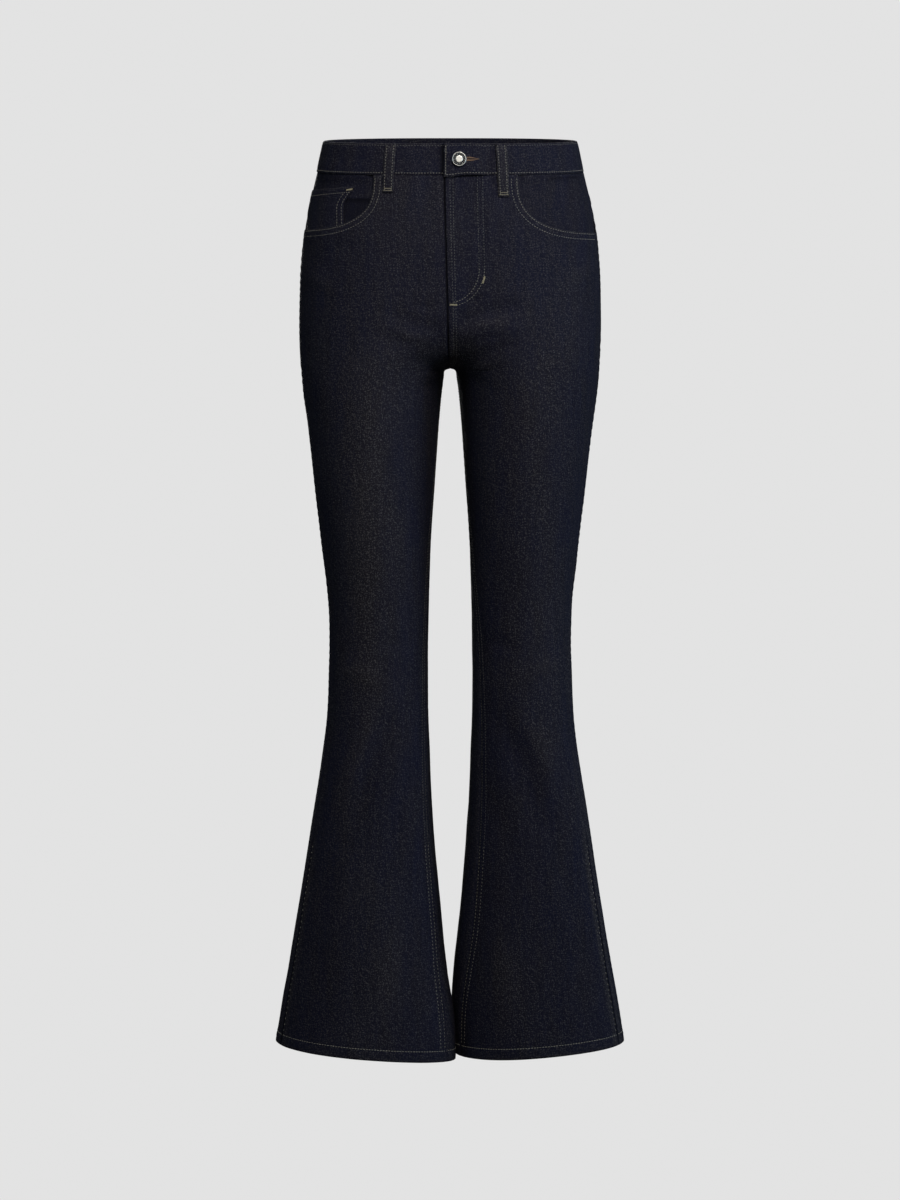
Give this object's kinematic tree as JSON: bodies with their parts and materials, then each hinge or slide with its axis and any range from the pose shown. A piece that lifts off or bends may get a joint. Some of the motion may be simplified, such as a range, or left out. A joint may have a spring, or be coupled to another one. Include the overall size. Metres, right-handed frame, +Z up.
{
  "type": "flared five-pocket jeans",
  "caption": "Dark indigo flared jeans, filled out and hollow, with a waistband, waist button, zip fly, front and back pockets, belt loops and open hems.",
  "frame": {"origin": "centre of the waistband ring, half way up it, where a wearer's waist holds the jeans up", "axes": "+X to the wearer's left, -Y to the front, +Z up the legs towards the waist"},
  "size_m": [0.4127, 0.2373, 1.0809],
  "materials": {
    "denim": "dark indigo twill denim, matte with a slight sheen, tan topstitching",
    "button_metal": "antique silver, satin",
    "zip_tape": "woven tape, matte"
  },
  "bodies": {
    "root": {"front_left": "denim", "front_right": "denim", "back_left": "denim", "back_right": "denim", "yoke_left": "denim", "yoke_right": "denim", "pocket_facing_left": "denim", "pocket_facing_right": "denim", "coin_pocket": "denim", "waistband": "denim", "belt_loop_front_left": "denim", "belt_loop_front_right": "denim", "belt_loop_back_left": "denim", "belt_loop_back_right": "denim", "belt_loop_center_back": "denim", "back_pocket_left": "denim", "back_pocket_right": "denim", "button": "button_metal", "fly_zip": "zip_tape"}
  },
  "joints": []
}
